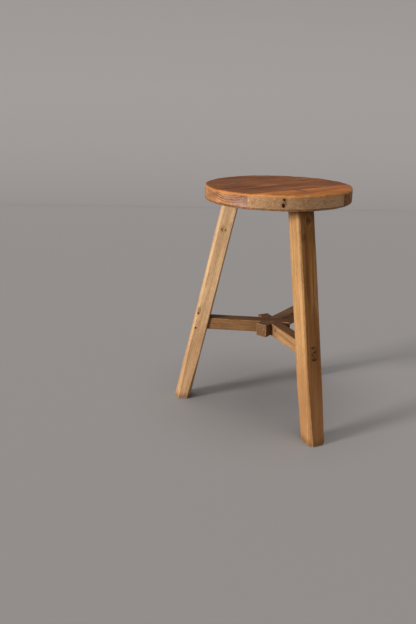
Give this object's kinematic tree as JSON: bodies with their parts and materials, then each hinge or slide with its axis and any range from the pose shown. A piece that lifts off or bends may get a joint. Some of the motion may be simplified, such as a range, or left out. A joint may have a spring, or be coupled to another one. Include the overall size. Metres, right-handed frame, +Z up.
{
  "type": "three-legged stool",
  "caption": "Rustic wooden stool: round seat of joined boards, splayed legs with chamfered outer corners wedged through it, and stretchers lapped in a star under it.",
  "frame": {"origin": "on the floor under the middle of the stool's bounding box; the seat's own axis stands 32.6 mm towards +X from it", "axes": "+Z up out of the seat; the left leg's foot points along -X, and the front and rear legs' feet splay towards -Y and +Y"},
  "size_m": [0.3702, 0.3966, 0.5],
  "materials": {
    "rear_board_wood": "reddish brown, waxed and worn, open grain",
    "front_board_wood": "orange brown on top with a pale end-grain rim, waxed and worn",
    "left_leg_wood": "pale straw, hand planed, satin wax",
    "front_leg_wood": "honey blond, hand planed, satin wax",
    "rear_leg_wood": "honey blond, hand planed, satin wax",
    "stretcher_wood": "mid brown, sawn and planed, satin wax",
    "wedge_wood": "dark end grain, dry",
    "dowel_bamboo": "split and shaved, dry"
  },
  "bodies": {
    "root": {"seat_board_rear": "rear_board_wood", "seat_board_front": "front_board_wood", "leg_left": "left_leg_wood", "leg_front": "front_leg_wood", "leg_rear": "rear_leg_wood", "stretcher_left": "stretcher_wood", "stretcher_front": "stretcher_wood", "stretcher_rear": "stretcher_wood", "seat_wedge_left": "wedge_wood", "seat_wedge_front": "wedge_wood", "seat_wedge_rear": "wedge_wood", "stretcher_wedge_left": "wedge_wood", "stretcher_wedge_front": "wedge_wood", "stretcher_wedge_rear": "wedge_wood", "board_dowel_left": "dowel_bamboo", "board_dowel_middle": "dowel_bamboo", "board_dowel_right": "dowel_bamboo"}
  },
  "joints": []
}
